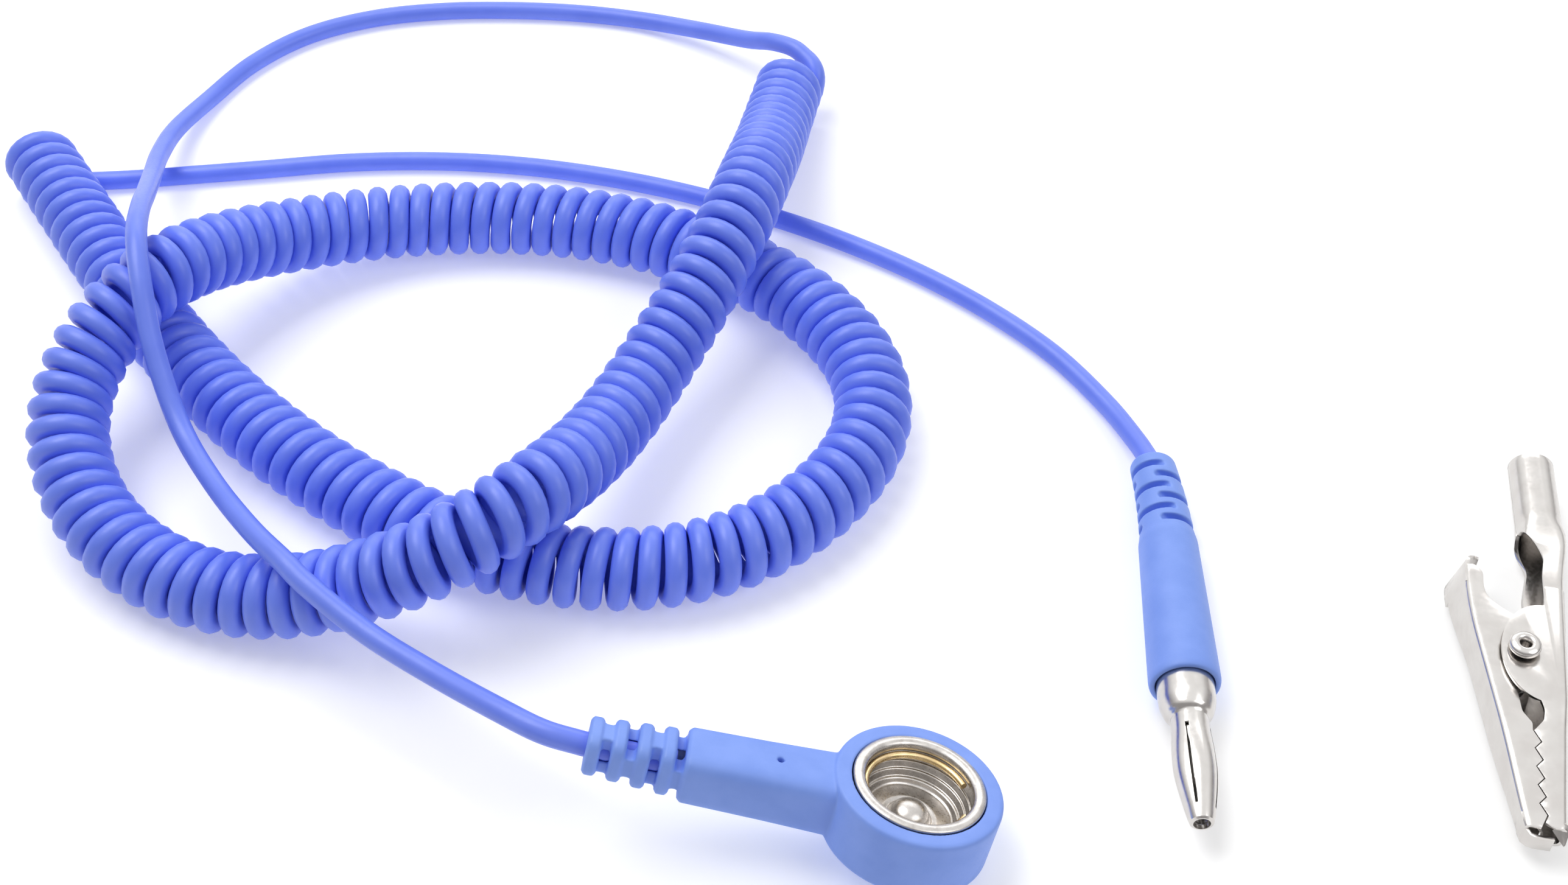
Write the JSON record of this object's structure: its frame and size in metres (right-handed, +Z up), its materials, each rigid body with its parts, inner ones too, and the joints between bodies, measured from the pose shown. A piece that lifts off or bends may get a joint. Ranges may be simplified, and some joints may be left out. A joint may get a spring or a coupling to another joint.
{
  "type": "esd grounding lead",
  "caption": "Coiled grounding lead for a wrist strap: moulded snap end, coiled cord, banana plug and a loose crocodile clip.",
  "frame": {"origin": "on the table, at the middle of the box round the snap end and the clip together", "axes": "+X to the right, from the coil towards the clip; +Y to the back, away from the snap end; +Z up from the table"},
  "size_m": [0.1924, 0.1513, 0.0223],
  "materials": {
    "overmould": "matte light blue moulded plastic",
    "cord": "satin blue polyurethane",
    "nickel": "bright nickel plate",
    "brass": "satin brass",
    "tinned": "dull tin plate",
    "copper": "bare copper strands",
    "resistor": "satin enamel",
    "spring_steel": "drawn wire"
  },
  "bodies": {
    "lead": {"snap_overmould": "overmould", "plug_overmould": "overmould", "snap_socket_cup": "nickel", "snap_rivet": "nickel", "plug_pin_body": "nickel", "plug_spring_cage": "nickel", "snap_ring_spring": "brass", "snap_terminal_lug": "tinned", "resistor_lead_front": "tinned", "resistor_lead_rear": "tinned", "crimp_sleeve": "tinned", "safety_resistor": "resistor", "conductor_end_snap": "copper", "conductor_end_plug": "copper", "cord_tail_snap": "cord", "cord_coil": "cord", "cord_tail_plug": "cord"},
    "clip": {"clip_barrel_jaw": "nickel", "clip_rivet": "nickel", "clip_spring": "spring_steel"},
    "clip_lever": {"clip_lever_jaw": "nickel"}
  },
  "joints": [
    {"name": "clip_lift", "type": "slide", "parent": "lead", "child": "clip", "axis": [0, 0, 1], "range_m": [0, 0.06]},
    {"name": "clip_hinge", "type": "hinge", "parent": "clip", "child": "clip_lever", "pos_m": [0.04349, -0.00072, 0.0039], "axis": [0, 0, -1], "range_deg": [0, 22], "stiffness_Nm_per_rad": 0.1, "springref_deg": -22.92, "deforming": ["clip_spring"]}
  ]
}
